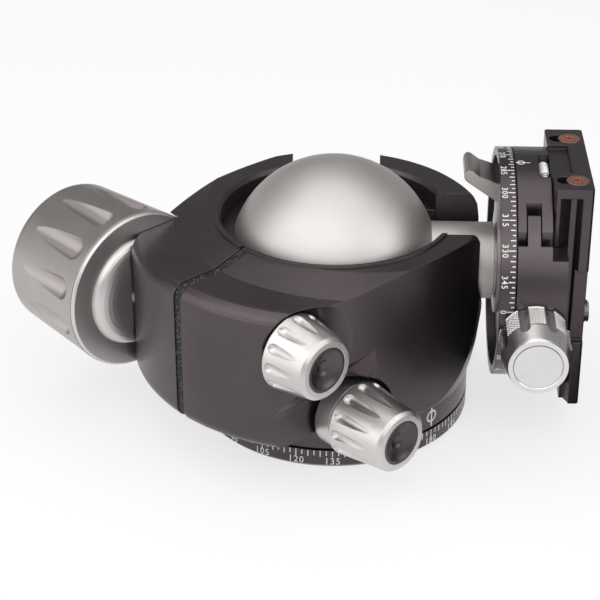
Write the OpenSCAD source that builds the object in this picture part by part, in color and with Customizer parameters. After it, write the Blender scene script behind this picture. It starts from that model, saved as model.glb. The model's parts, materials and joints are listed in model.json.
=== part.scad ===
// Low tripod ball head with a split housing, a panning clamp and a quick-release plate.
// Origin: centre of the base's bottom face. +Z up. The dropped stem points along +X.
// The knob axes lie along a second frame, turned by knob_turn about Z: its +X is u, its -Y is t.

/* [Ball and stem] */
// Diameter of the ball
ball_d = 56; // [55.6:0.1:56]
// Height of the ball's centre over the base
ball_z = 43.3; // [43.3:0.1:43.5]
// Diameter of the stem
stem_d = 20.6; // [20:0.2:21]
// Reach of the stem's thick part past the housing
stem_out = 3.2; // [3.2:0.1:3.6]
// Diameter of the stem's spigot inside the clamp
spigot_d = 18; // [16:0.5:18]

/* [Panning base] */
// Diameter of the panning base
base_d = 74.4; // [72:0.2:74.4]
// Height of the panning base
base_h = 5.5; // [5.2:0.1:5.5]
// Bevel at the foot of the panning base
base_bevel = 1.2; // [0.6:0.1:1.4]
// Diameter of the brake flange on the hub
hub_flange_d = 48; // [47.6:0.1:48]
// Diameter of the hub's neck
hub_neck_d = 40; // [38:0.5:40]
// Top of the hub
hub_top = 14.8; // [14.4:0.1:14.8]
// Outer diameter of the tripod thread insert
insert_d = 18; // [16:0.5:18]
// Nominal diameter of the 3/8 inch tripod thread
tripod_thread_d = 9.525; // [9.525]
// Depth of the tripod thread
tripod_thread_depth = 12; // [11:0.5:12]
// Circle of the hub screws
hub_screw_circle_d = 29; // [28:0.5:30]

/* [Housing] */
// Turn of the knob frame about Z
knob_turn = -45; // [-45]
// Bottom of the housing
housing_z = 6; // [6:0.1:6.1]
// Top of the housing
housing_top = 57.4; // [57.2:0.1:57.6]
// Diameter of the housing over its notches
housing_d = 78.8; // [78:0.2:79]
// Diameter of the housing at its foot
housing_foot_d = 74.4; // [74:0.2:74.4]
// Diameter of the ball's bore
bore_d = 60.2; // [59.8:0.1:60.2]
// Floor of the ball's bore
bore_floor = 22; // [22]
// Width of the slot
slot_w = 2.7; // [2.4:0.1:2.8]
// Width of the drop notches
notch_w = 24.6; // [24.2:0.1:24.8]
// Diameter of the ears' outer face, about Z
ear_d = 109; // [108:0.5:110]
// Top of the ears
ear_top = 54.2; // [53.8:0.1:54.4]
// Underside of the ears
ear_floor = 14.8; // [14.5:0.1:15]
// Reach of both flanks, along u
flank_u = 37.3; // [37.3:0.1:37.6]
// Reach of the flat behind the pan lock knob, along u
flat_u = 27.6; // [27.2:0.1:27.8]

/* [Main knob] */
// Place of the main clamp screw, along t
main_t = 43.5; // [43:0.1:43.7]
// Height of the main clamp screw
main_z = 37.6; // [37:0.1:37.8]
// Diameter of the main clamp screw
main_screw_d = 8; // [7:0.5:8]
// Seat of the collar on the ear, along -u
main_seat = 26.8; // [26.8]
// Diameter of the collar's rim
collar_rim_d = 43.5; // [42:0.5:43.5]
// Diameter of the collar at the ear
collar_root_d = 16; // [15:0.5:17]
// Length of the collar
collar_len = 3.8; // [3.6:0.1:4]
// Length of the grip
grip_len = 29.9; // [28:0.1:30]
// Diameter of the grip's far end
grip_end_d = 40.4; // [39.6:0.2:40.8]
// Number of flutes on the grip
grip_flutes = 12; // [8:1:14]

/* [Small knobs] */
// Place of the drag knob, along t
drag_t = 42; // [41.8:0.1:42.2]
// Height of the drag knob
drag_z = 43.3; // [43:0.1:43.5]
// Tip of the drag knob, along u
drag_tip = 41.6; // [41.4:0.1:41.8]
// Length of the drag knob
drag_len = 13.2; // [12.8:0.1:13.2]
// Place of the pan lock knob, along t
pan_t = 24.6; // [24.6]
// Height of the pan lock knob
pan_z = 19; // [19]
// Tip of the pan lock knob, along u
pan_tip = 50.7; // [50.4:0.1:51]
// Length of the pan lock knob
pan_len = 16.8; // [16.4:0.1:17]
// Length of the plain collar of the pan lock knob
pan_collar_len = 5; // [4.6:0.1:5]
// Diameter of a small knob at its base
small_base_d = 20.4; // [19.6:0.2:20.6]
// Diameter of a small knob at its tip
small_tip_d = 16.6; // [16:0.2:17]
// Number of flutes on a small knob
small_flutes = 12; // [8:1:14]
// Diameter of a small knob's screw
small_screw_d = 5; // [4:0.5:5]

/* [Clamp] */
// Diameter of the clamp
clamp_d = 61.1; // [60.5:0.1:61.1]
// Length of the scale ring
ring_len = 3.9; // [3.9]
// Length of the clamp from the scale ring to its face
clamp_len = 13; // [13]
// Side face of the clamp's body towards the jaw
body_side = 23; // [23:0.1:23.2]
// Inner face of the jaw
jaw_side = 25.2; // [25.2:0.1:25.4]
// Height of the clamping lips over the clamp's face
lip_h = 4.1; // [3.9:0.1:4.1]
// Half length of the clamping lips
lip_half = 14; // [13:0.5:14]
// Opening travel of the jaw
jaw_travel = 2.8; // [2:0.1:2.8]
// Width of the jaw's guide tongues
tongue_w = 3.3; // [3:0.1:3.4]
// Depth of the jaw screw behind the clamp's face
jaw_screw_in = 3.9; // [3.9]
// Drop of the jaw screw under the clamp's axis
jaw_screw_drop = 5.5; // [5.5]
// Diameter of the jaw knob
jaw_knob_d = 18; // [17:0.5:18]
// Length of the jaw knob
jaw_knob_len = 16; // [15:0.5:16]
// Number of flutes on the jaw knob
jaw_flutes = 8; // [6:1:10]

/* [Plate] */
// Thickness of the plate
plate_t = 10; // [9.8:0.1:10.2]
// Width of the plate
plate_w = 38; // [38]
// Bottom end of the plate
plate_bottom = 10.2; // [10:0.2:11]
// Top end of the plate
plate_top = 73.4; // [73:0.1:73.4]
// Height of the camera screw
camera_screw_z = 28.1; // [27:0.1:30]
// Nominal diameter of the 1/4 inch camera thread
camera_thread_d = 6.35; // [6.35]
// Reach of the camera screw out of the plate
camera_screw_out = 3.2; // [3:0.1:4]
// Place of the end screws either side of the middle
stop_screw_y = 13.1; // [12.5:0.1:13.5]

/* [Hidden] */
$fn = 96;
// Overrun that takes a cut past the face it opens
over = 1;
// Running fit, on the radius
fit = 0.05;
// Free gap between pieces that pass each other
gap = 0.3;
ball_r = ball_d / 2;
seat_r = ball_r + fit;
stem_r = stem_d / 2;
spigot_r = spigot_d / 2;
bore_r = bore_d / 2;
clamp_r = clamp_d / 2;
stem_end = housing_d / 2 + stem_out;
ring_x = stem_end + gap;
ring_end = ring_x + ring_len;
clamp_end = ring_x + clamp_len;
lip_end = clamp_end + lip_h;
plate_x = clamp_end + gap;
jaw_screw_x = clamp_end - jaw_screw_in;
body_x = ring_end + gap;
plate_end = plate_x + plate_t;
drag_base = drag_tip - drag_len;
pan_base_u = pan_tip - pan_len;
pan_collar_u = pan_base_u - pan_collar_len;
collar_end = main_seat + gap + collar_len;
grip_end = collar_end + grip_len;
washer_flat = 0.5;
screw_fit_r = small_screw_d / 2 + fit;
dark = [0.24, 0.21, 0.2];
silver = [0.8, 0.79, 0.77];
titanium = [0.55, 0.52, 0.5];
steel = [0.62, 0.63, 0.65];
copper = [0.72, 0.48, 0.38];
white_plastic = [0.85, 0.85, 0.82];

// Points of an arc from angle a0 to a1
function arc(cx, cy, r, a0, a1, steps = 6) =
    [for (i = [0:steps]) let (a = a0 + (a1 - a0) * i / steps) [cx + r * cos(a), cy + r * sin(a)]];

// Puts a child that stands on +Z on a screw axis of the knob frame, pointing along +u
module on_front_axis(t, z, u) {
    rotate([0, 0, knob_turn]) translate([u, -t, z]) rotate([0, 90, 0]) children();
}

// The same, pointing along -u
module on_back_axis(t, z, u) {
    rotate([0, 0, knob_turn]) translate([-u, -t, z]) rotate([0, -90, 0]) children();
}

// Puts a child that stands on +Z on the clamp's axis, pointing along +X from x
module on_stem_axis(x) {
    translate([x, 0, ball_z]) rotate([0, 90, 0]) children();
}

// Puts a child that stands on +Z on the jaw screw's axis, pointing along -Y from y
module on_jaw_axis(y) {
    translate([jaw_screw_x, -y, ball_z - jaw_screw_drop]) rotate([90, 0, 0]) children();
}

module tube(r_out, r_in, h) {
    difference() {
        cylinder(r = r_out, h = h);
        translate([0, 0, -over]) cylinder(r = r_in, h = h + 2 * over);
    }
}

// Panning base
insert_r = insert_d / 2;
hub_screw_r = 1.5;
hub_head_r = 2.8;
hub_head_h = 2.4;
hub_screw_top = 12.5;
hub_screws_n = 4;
washer_low_out = 35;
washer_low_in = 27;
hub_flange_z = 9;
flange_top = 8.4;

module hub_screw_places() {
    for (i = [0:hub_screws_n - 1])
        rotate([0, 0, i * 360 / hub_screws_n]) translate([hub_screw_circle_d / 2, 0, 0]) children();
}

module pan_base() {
    r = base_d / 2;
    color(dark) difference() {
        rotate_extrude() polygon([[insert_r, 0], [r - base_bevel, 0], [r, base_bevel], [r, base_h],
            [insert_r, base_h]]);
        hub_screw_places() translate([0, 0, -over]) {
            cylinder(r = hub_screw_r + fit, h = base_h + 2 * over);
            cylinder(r = hub_head_r + fit, h = hub_head_h + over);
        }
    }
}

module thread_insert() {
    color(steel) tube(insert_r, tripod_thread_d / 2, tripod_thread_depth);
}

module pan_hub() {
    color(steel) difference() {
        union() {
            translate([0, 0, base_h]) cylinder(d = hub_neck_d, h = hub_top - base_h);
            translate([0, 0, hub_flange_z]) cylinder(d = hub_flange_d, h = hub_top - hub_flange_z);
        }
        translate([0, 0, base_h - over]) cylinder(r = insert_r, h = hub_top);
        hub_screw_places() cylinder(r = hub_screw_r, h = hub_screw_top);
    }
}

module hub_screws() {
    color(steel) hub_screw_places() {
        translate([0, 0, gap]) cylinder(r = hub_head_r, h = hub_head_h - gap);
        translate([0, 0, hub_head_h - fit]) cylinder(r = hub_screw_r, h = hub_screw_top - hub_head_h);
    }
}

module pan_washer_lower() {
    color(white_plastic) translate([0, 0, base_h])
        tube(washer_low_out, washer_low_in, housing_z - base_h - fit);
}

module pan_washer_upper() {
    color(white_plastic) translate([0, 0, flange_top])
        tube(hub_flange_d / 2 - washer_flat, hub_neck_d / 2 + washer_flat, hub_flange_z - flange_top - fit);
}

// Housing
foot_flare_z = [12.3, 17.4, 22];
// Swell of the barrel-shaped side, as [out from the side, height]
barrel = [[0.9, 30], [1.6, 43]];
// Profile of the rounded top edge, as [in from the side, down from the top]
top_edge = [[-1.8, 10], [-1.8, 7], [-1.3, 3], [-0.2, 0.7], [0.7, 0]];
foot_edge = 0.3;
foot_flare_share = 0.6;
ear_r = ear_d / 2;
ear_top_round = 3.7;
ear_foot_round = 4;
ear_crown_in = 5.5;
// How far the ears' own top stays under the core's, where the crown's cone has cut both
ear_sink = 0.2;
flank_r = 120;
// Where the ears start inside the round core, along t
ears_start = 5;
// Where the front flank starts to swell out over the flat, and over what height
flat_top = 24;
flat_swell = 20;
swell_steps = 10;
mouth_lip_r = 32.2;
mouth_lip_h = 0.4;
body_top = housing_top - mouth_lip_h;
// The crown falls to the ears as a cone, whose axis lies behind the ball's
crown_shift = 12;
crown_r = 42.5;
crown_slope = 0.27;
crown_run = (body_top - ear_top) / crown_slope;
bore_bevel = 0.9;
hub_gap = 0.4;
pocket_gap = 1;
seal_inset = 0.4;
seal_hole_gap = 1;
flange_hole_r = hub_neck_d / 2 + hub_gap;
hub_bore_r = hub_flange_d / 2 + hub_gap;
drag_pocket_r = 6.6;
drag_pocket_in = 3.2;
drag_pocket_len = 20;
drag_pocket_u = drag_base - drag_pocket_in;
scoop_gap = 0.55;
scoop_root_gap = 4;
scoop_mouth_gap = 1.2;
main_insert_r = 6.5;
main_insert_start = 2.5;
main_insert_end = 15;
// Near and far faces of the brake shoe
shoe_u = [14.5, 21];
shoe_t = [16, 27.5];
shoe_z = [9.2, 21.4];
pan_pocket_r = small_base_d / 2 + pocket_gap;
drag_hole_u = 16.5;

module housing_core() {
    r = housing_d / 2;
    foot = housing_foot_d / 2;
    rotate_extrude() polygon(concat(
        [[0, housing_z], [foot - foot_edge, housing_z], [foot, housing_z + foot_edge],
            [foot, foot_flare_z[0]], [foot + (r - foot) * foot_flare_share, foot_flare_z[1]],
            [r, foot_flare_z[2]]],
        [for (p = barrel) [r + p[0], p[1]]],
        [for (p = top_edge) [r - p[0], body_top - p[1]]],
        [[0, body_top]]));
}

// Outer edge of the ears from their underside to their top, as [r, z]
function ear_edge(inset) = concat(
    [[0, ear_floor + inset]],
    arc(ear_r - ear_foot_round, ear_floor + ear_foot_round, ear_foot_round - inset, -90, 0),
    arc(ear_r - ear_top_round, ear_top - ear_top_round, ear_top_round - inset, 0, 90));

// Front of the ears, as [u, z]: a flat low down that swells out to the flank
module ear_front_view() {
    swell = flank_u + over - flat_u;
    polygon(concat(
        [[-ear_r, ear_floor - over], [flat_u, ear_floor - over]],
        [for (i = [0:swell_steps])
            [flat_u + swell * (1 - cos(180 * i / swell_steps)) / 2, flat_top + flat_swell * i / swell_steps]],
        [[flank_u + over, housing_top + over], [-ear_r, housing_top + over]]));
}

module ears() {
    rotate([0, 0, knob_turn]) intersection() {
        rotate_extrude() polygon(concat(ear_edge(0), [[ear_r - ear_crown_in, ear_top],
            [ear_r - ear_crown_in, body_top - ear_sink], [0, body_top - ear_sink]]));
        rotate([90, 0, 0]) translate([0, 0, ears_start]) linear_extrude(height = ear_d) ear_front_view();
    }
}

module flank_limits() {
    rotate([0, 0, knob_turn]) intersection() {
        translate([flank_u - flank_r, 0, 0]) cylinder(r = flank_r, h = housing_top + over);
        translate([flank_r - flank_u, 0, 0]) cylinder(r = flank_r, h = housing_top + over);
    }
}

module crown_cut() {
    rotate([0, 0, knob_turn]) translate([0, crown_shift, 0]) rotate_extrude()
        polygon([[crown_r, body_top], [crown_r + crown_run, ear_top], [ear_d, ear_top],
            [ear_d, housing_top + over], [crown_r, housing_top + over]]);
}

module notch_cut() {
    reach = housing_d;
    translate([0, -notch_w / 2, ball_z]) cube([reach, notch_w, reach]);
    translate([0, 0, ball_z]) rotate([0, 90, 0]) cylinder(d = notch_w, h = reach);
}

module slot_cut() {
    rotate([0, 0, knob_turn]) translate([-slot_w / 2, -ear_r - over, ear_floor - over])
        cube([slot_w, ear_r + over - bore_r / 2, housing_top]);
}

// Room for the main knob's collar: a cone round its bell, then a round well
module main_scoop() {
    wide = collar_rim_d / 2 + scoop_gap;
    cylinder(r1 = collar_root_d / 2 + scoop_root_gap, r2 = collar_bell_r + scoop_mouth_gap,
        h = collar_bell_len);
    translate([0, 0, collar_bell_len]) cylinder(r = wide, h = housing_d);
}

module ball_housing() {
    color(dark) difference() {
        union() {
            difference() {
                intersection() {
                    union() {
                        housing_core();
                        ears();
                    }
                    flank_limits();
                }
                crown_cut();
            }
            translate([0, 0, bore_floor]) cylinder(r = mouth_lip_r, h = housing_top - bore_floor);
        }
        translate([0, 0, bore_floor]) cylinder(r = bore_r, h = housing_top);
        translate([0, 0, housing_top - bore_bevel])
            cylinder(r1 = bore_r, r2 = bore_r + bore_bevel + over, h = bore_bevel + over);
        translate([0, 0, flange_top]) cylinder(r = hub_bore_r, h = housing_top);
        cylinder(r = flange_hole_r, h = housing_top);
        notch_cut();
        rotate([0, 0, 90]) notch_cut();
        slot_cut();
        on_back_axis(main_t, main_z, main_seat) main_scoop();
        on_back_axis(main_t, main_z, 0) cylinder(r = main_screw_d / 2 + fit, h = housing_d);
        on_front_axis(main_t, main_z, 0) cylinder(r = main_insert_r, h = main_insert_end);
        on_front_axis(drag_t, drag_z, drag_pocket_u)
            cylinder(r1 = drag_pocket_r, r2 = drag_pocket_r + drag_pocket_len, h = drag_pocket_len);
        on_front_axis(drag_t, drag_z, drag_hole_u) cylinder(r = screw_fit_r, h = housing_d);
        on_front_axis(pan_t, pan_z, shoe_u[0]) cylinder(r = screw_fit_r, h = housing_d);
        on_front_axis(pan_t, pan_z, pan_collar_u - gap) cylinder(r = pan_pocket_r, h = housing_d);
        rotate([0, 0, knob_turn]) translate([shoe_u[0], -shoe_t[1], shoe_z[0]] - [gap, gap, gap])
            cube([shoe_u[1] - shoe_u[0] + 2 * gap, shoe_t[1] - shoe_t[0] + over + gap,
                shoe_z[1] - shoe_z[0] + 2 * gap]);
    }
}

module slot_seal() {
    w = slot_w - 2 * fit;
    hole_r = main_screw_d / 2 + seal_hole_gap;
    color([0.08, 0.08, 0.08]) difference() {
        rotate([0, 0, knob_turn]) translate([w / 2, 0, 0]) rotate([90, 0, -90])
            linear_extrude(height = w) polygon(concat(ear_edge(seal_inset),
                [[crown_r + crown_run - crown_shift, ear_top - seal_inset],
                    [crown_r - crown_shift, body_top - seal_inset], [0, body_top - seal_inset]]));
        cylinder(r = bore_r + gap, h = housing_top + over);
        on_back_axis(main_t, main_z, -slot_w) cylinder(r = hole_r, h = slot_w * 2);
    }
}

seat_ring_z = [47, 52];
cup_z = [22.05, 30.4];

module seat_ring() {
    color(dark) difference() {
        translate([0, 0, seat_ring_z[0]]) cylinder(r = bore_r - fit, h = seat_ring_z[1] - seat_ring_z[0]);
        translate([0, 0, ball_z]) sphere(r = seat_r);
        notch_cut();
        rotate([0, 0, 90]) notch_cut();
        slot_cut();
    }
}

module lower_ball_cup() {
    color(white_plastic) difference() {
        translate([0, 0, cup_z[0]]) cylinder(r = bore_r - fit, h = cup_z[1] - cup_z[0]);
        translate([0, 0, ball_z]) sphere(r = seat_r);
    }
}

module main_thread_insert() {
    color([0.75, 0.62, 0.35]) on_front_axis(main_t, main_z, main_insert_start)
        tube(main_insert_r, main_screw_d / 2 + fit, main_insert_end - main_insert_start);
}

module pan_brake_shoe() {
    color(white_plastic) difference() {
        rotate([0, 0, knob_turn]) translate([shoe_u[0], -shoe_t[1], shoe_z[0]])
            cube([shoe_u[1] - shoe_u[0], shoe_t[1] - shoe_t[0], shoe_z[1] - shoe_z[0]]);
        cylinder(r = hub_flange_d / 2 + fit, h = bore_floor);
    }
}

// Small knobs. Each stands on its base at z 0 with its tip up.
flute_r = 1.5;
flute_start = 3;
flute_out_share = 0.07;
flute_tilt_share = 0.15;
small_knob_edge = 0.9;
cap_r_share = 0.72;
cap_depth = 2.6;
dish_r = 9;
dish_floor = 0.9;
dimple_r = 3.4;
dimple_z = 3.76;
pan_collar_in = 0.8;

// Cutter of a flute: round at its start, straight from there
module flute_cutter(r, len) {
    rotate_extrude() polygon(concat(arc(0, 0, r, -90, 0), [[r, len], [0, len]]));
}

module small_knob_form(len) {
    base_r = small_base_d / 2;
    tip_r = small_tip_d / 2;
    tilt = atan((base_r - tip_r) / len);
    edge = small_knob_edge;
    difference() {
        rotate_extrude() polygon([[screw_fit_r - fit, 0], [base_r - edge, 0], [base_r, edge],
            [tip_r, len - edge], [tip_r - edge, len], [tip_r * cap_r_share, len],
            [tip_r * cap_r_share, len - cap_depth], [screw_fit_r - fit, len - cap_depth]]);
        for (i = [0:small_flutes - 1]) rotate([0, 0, i * 360 / small_flutes])
            translate([base_r + flute_r * flute_out_share, 0, flute_start])
                rotate([0, -tilt * flute_tilt_share, 0]) flute_cutter(flute_r, len);
    }
}

module cap_form(r) {
    difference() {
        cylinder(r = r, h = cap_depth - fit);
        translate([0, 0, dish_r + dish_floor]) sphere(r = dish_r);
        translate([0, 0, dimple_z]) sphere(r = dimple_r);
    }
}

module pan_lock_knob() {
    color(silver) on_front_axis(pan_t, pan_z, pan_base_u) small_knob_form(pan_len);
}

module pan_lock_cap() {
    color(dark) on_front_axis(pan_t, pan_z, pan_tip - cap_depth)
        cap_form(small_tip_d / 2 * cap_r_share - fit);
}

module pan_lock_collar() {
    color(silver) on_front_axis(pan_t, pan_z, pan_collar_u)
        tube(small_base_d / 2 - pan_collar_in, small_screw_d / 2, pan_collar_len - fit);
}

module pan_lock_screw() {
    start = shoe_u[1] + gap;
    color(steel) on_front_axis(pan_t, pan_z, start)
        cylinder(d = small_screw_d, h = pan_tip - cap_depth - start);
}

module drag_knob() {
    color(silver) on_front_axis(drag_t, drag_z, drag_base) small_knob_form(drag_len);
}

module drag_cap() {
    color(dark) on_front_axis(drag_t, drag_z, drag_tip - cap_depth)
        cap_form(small_tip_d / 2 * cap_r_share - fit);
}

plunger_len = 3.2;

module drag_screw() {
    start = drag_hole_u + plunger_len + fit * 2;
    color(steel) on_front_axis(drag_t, drag_z, start)
        cylinder(d = small_screw_d, h = drag_tip - cap_depth - start);
}

module drag_plunger() {
    color([0.75, 0.62, 0.35]) on_front_axis(drag_t, drag_z, drag_hole_u + fit)
        cylinder(d = small_screw_d, h = plunger_len);
}

// Main knob
main_screw_tip_u = 13;
main_washer_t = 1;
main_cap_r = 13.5;
main_cap_t = 2;
main_washer_r = 13.5;
// The collar's bell ends in a flat ring with a narrow rim
collar_bell_r = 15.2;
bell_steps = 8;
collar_rim_edge = 0.5;
collar_rim_band = 1;
collar_bell_len = collar_len - collar_rim_band;
grip_step = 0.1;
grip_end_round = 2.4;
grip_land = 2.2;
grip_flute_r = 3.4;
grip_flute_out_share = 0.28;
grip_flute_tilt = 3.4;

module main_clamp_screw() {
    color(steel) on_back_axis(main_t, main_z, -main_screw_tip_u)
        cylinder(d = main_screw_d, h = main_screw_tip_u + grip_end - main_cap_t - fit);
}

module main_washer() {
    color(steel) on_back_axis(main_t, main_z, collar_end - main_washer_t + fit)
        tube(main_washer_r, main_screw_d / 2, main_washer_t - fit);
}

// Outer curve of the collar's bell, as [r, z]
function collar_bell() = [for (i = [0:bell_steps]) let(turn = 90 * i / bell_steps)
    [collar_root_d / 2 + (collar_bell_r - collar_root_d / 2) * sin(turn),
        collar_bell_len * (1 - cos(turn))]];

module main_collar() {
    rim = collar_rim_d / 2;
    bore = main_screw_d / 2;
    washer = main_washer_r + fit;
    color(silver) on_back_axis(main_t, main_z, main_seat + gap)
        rotate_extrude() polygon(concat([[bore, 0]], collar_bell(), [
            [rim - collar_rim_edge, collar_bell_len], [rim, collar_bell_len + collar_rim_edge],
            [rim, collar_len], [washer, collar_len], [washer, collar_len - main_washer_t],
            [bore, collar_len - main_washer_t]]));
}

module main_grip() {
    root = collar_rim_d / 2 + grip_step;
    turn = grip_end_round;
    tip = grip_end_d / 2;
    bore = main_screw_d / 2;
    color(titanium) on_back_axis(main_t, main_z, collar_end + fit) difference() {
        rotate_extrude() polygon(concat([[bore, 0], [root, 0]],
            arc(tip - turn, grip_len - turn, turn, 0, 90), [[main_cap_r, grip_len],
            [main_cap_r, grip_len - main_cap_t], [bore, grip_len - main_cap_t]]));
        for (i = [0:grip_flutes - 1]) rotate([0, 0, (i + 0.5) * 360 / grip_flutes])
            translate([root + grip_flute_r * grip_flute_out_share, 0, grip_flute_r + grip_land])
                rotate([0, grip_flute_tilt, 0])
                    flute_cutter(grip_flute_r, grip_len);
    }
}

module main_cap() {
    color(dark) on_back_axis(main_t, main_z, grip_end - main_cap_t + 2 * fit)
        cylinder(r = main_cap_r - fit, h = main_cap_t - 2 * fit);
}

// Ball, stem and panning clamp
bolt_r = 3;
bolt_head_r = 4.5;
bolt_head_in = 3.3;
bolt_head_x = clamp_end - bolt_head_in;
bolt_reach = 2.4;
bolt_tip_x = ring_x - bolt_reach;
lever_t = 1.1;
lever_x = [ring_x + gap, ring_x + gap + lever_t];
lever_hub_r = 14;
lever_arm_r = 23;
lever_half = [12, 6];
// Profile of the lever's bent tab, as [x from the lever's outer face, height over the axis]
tab_profile = [[0, 19.3], [0, 24.4], [-1.7, 24.6], [-3.1, 25.2], [-6.1, 26.2], [-8.3, 27.9],
    [-9.3, 28.1], [-10.1, 27.3], [-10.3, 26], [-9.9, 25.2], [-1.7, 19.3]];
tab_y = 2;
ring_recess_r = 28.3;
ring_recess_x = 2.2;
thrust_r = [12, 20];
thrust_t = 1;

module ball_stem() {
    color(silver) difference() {
        union() {
            translate([0, 0, ball_z]) sphere(r = ball_r);
            on_stem_axis(0) cylinder(r = stem_r, h = stem_end);
            on_stem_axis(0) cylinder(r = spigot_r, h = ring_end);
        }
        on_stem_axis(bolt_tip_x - over) cylinder(r = bolt_r + fit, h = clamp_end);
    }
}

module pan_lever() {
    color(titanium) difference() {
        union() {
            on_stem_axis(lever_x[0]) cylinder(r = lever_hub_r, h = lever_x[1] - lever_x[0]);
            translate([lever_x[0], tab_y, ball_z]) rotate([90, 0, 90])
                linear_extrude(height = lever_x[1] - lever_x[0])
                    polygon([[-lever_half[0], 0], [lever_half[0] - tab_y, 0],
                        [lever_half[1], lever_arm_r], [-lever_half[1], lever_arm_r]]);
            translate([lever_x[1], tab_y + lever_half[1], ball_z]) rotate([90, 0, 0])
                linear_extrude(height = lever_half[1] * 2) polygon(tab_profile);
        }
        on_stem_axis(lever_x[0] - over)
            cylinder(r = spigot_r + fit * 2, h = lever_x[1] - lever_x[0] + 2 * over);
    }
}

module clamp_scale_ring() {
    color(dark) on_stem_axis(ring_x) difference() {
        cylinder(r = clamp_r, h = ring_len);
        translate([0, 0, -over]) cylinder(r = spigot_r + fit, h = ring_len + 2 * over);
        translate([0, 0, -over]) cylinder(r = ring_recess_r, h = over + ring_recess_x);
        translate([0, 0, ring_len - thrust_t + gap]) tube(thrust_r[1] + fit, thrust_r[0] - fit, thrust_t);
    }
}

module clamp_thrust_washer() {
    color(white_plastic) on_stem_axis(ring_end - thrust_t + gap)
        tube(thrust_r[1], thrust_r[0], thrust_t - fit);
}

module clamp_bolt() {
    socket_r = 2.4;
    socket_depth = 1.8;
    head = clamp_end - gap - bolt_head_x;
    color(steel) difference() {
        union() {
            on_stem_axis(bolt_tip_x) cylinder(r = bolt_r, h = clamp_end - gap - bolt_tip_x);
            on_stem_axis(bolt_head_x) cylinder(r = bolt_head_r, h = head);
        }
        on_stem_axis(clamp_end - gap - socket_depth) cylinder(r = socket_r, h = socket_depth + over, $fn = 6);
    }
}

vial_in = 1.3;
vial_x = clamp_end - vial_in;
vial_z = 27.4;
vial_r = 1.4;
vial_y = [-7.5, 1.3];
level_pocket_depth = 2.9;
level_pocket_y = -9.2;
level_pocket_z = 25.6;
level_pocket = [clamp_end - level_pocket_depth, level_pocket_y, level_pocket_z];
level_pocket_w = 11;
tongue_z = 12;
tongue_y = 19.8;
tongue_slot_y = 17;
pin_r = 1;
pin_in = 4.7;
pin_x = clamp_end - pin_in;
pin_z = [7, -10];
pin_y = [12, 28.5];
jaw_screw_r = 2.5;
jaw_screw_y = 7;
knob_face_y = 30.7;
lip_floor_h = 2;
lip_floor = clamp_end + lip_floor_h;
lip_tip_y = 17.3;
lip_root = 0.1;

// Lip profile of one side, as [x, y], from the clamp's face out to the lip's tip
module lip_profile(inner_y) {
    root_x = clamp_end + lip_root;
    polygon([[clamp_end - over, inner_y], [root_x, inner_y], [root_x, plate_w / 2 + gap],
        [lip_floor, plate_w / 2 + gap], [lip_end, lip_tip_y], [lip_end, clamp_r],
        [clamp_end - over, clamp_r]]);
}

module clamp_disc(len) {
    on_stem_axis(body_x) cylinder(r = clamp_r, h = len);
}

module clamp_tongues(w, from_y, to_y) {
    intersection() {
        clamp_disc(clamp_end - body_x);
        for (s = [0, 1]) translate([0, 0, ball_z]) mirror([0, 0, s])
            translate([pin_x - w / 2, -to_y, tongue_z]) cube([w, to_y - from_y, clamp_r]);
    }
}

module clamp_body() {
    color(dark) difference() {
        union() {
            clamp_disc(clamp_end - body_x);
            intersection() {
                clamp_disc(lip_end - body_x);
                translate([0, 0, ball_z - lip_half])
                    linear_extrude(height = lip_half * 2) lip_profile(plate_w / 2 + gap);
            }
        }
        translate([body_x - over, -clamp_d - body_side, 0]) cube([clamp_d, clamp_d, clamp_d * 2]);
        for (s = [0, 1]) translate([0, 0, ball_z]) mirror([0, 0, s])
            translate([pin_x - tongue_w / 2 - gap, -clamp_d, tongue_z - gap])
                cube([tongue_w + 2 * gap, clamp_d - tongue_slot_y, clamp_r]);
        on_stem_axis(body_x - over) cylinder(r = bolt_r + fit, h = clamp_d);
        on_stem_axis(bolt_head_x - fit) cylinder(r = bolt_head_r + gap, h = clamp_d);
        on_jaw_axis(jaw_screw_y - over) cylinder(r = jaw_screw_r + fit, h = clamp_d);
        for (z = pin_z) translate([pin_x, -pin_y[0] + over, ball_z + z]) rotate([90, 0, 0])
            cylinder(r = pin_r + fit, h = clamp_d);
        translate([0, 0, ball_z] + level_pocket) cube([clamp_d, level_pocket_w, clamp_d]);
    }
}

module level_holder() {
    wall = 0.3;
    floor_h = 1.2;
    color([0.1, 0.1, 0.1]) difference() {
        translate([level_pocket[0] + fit, level_pocket[1] + fit, ball_z + level_pocket[2]])
            cube([clamp_end - level_pocket[0] - 2 * fit, level_pocket_w - 2 * fit, floor_h + vial_r]);
        translate([vial_x, vial_y[0] - wall, ball_z + vial_z]) rotate([-90, 0, 0])
            cylinder(r = vial_r - wall, h = vial_y[1] - vial_y[0] + 2 * wall);
        translate([vial_x - vial_r, vial_y[0] - fit, ball_z + vial_z - vial_r])
            cube([vial_r * 2, vial_y[1] - vial_y[0] + 2 * fit, clamp_r]);
    }
}

module level_vial() {
    color([0.9, 0.95, 0.8]) translate([vial_x, vial_y[0], ball_z + vial_z]) rotate([-90, 0, 0])
        cylinder(r = vial_r - fit, h = vial_y[1] - vial_y[0]);
}

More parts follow.
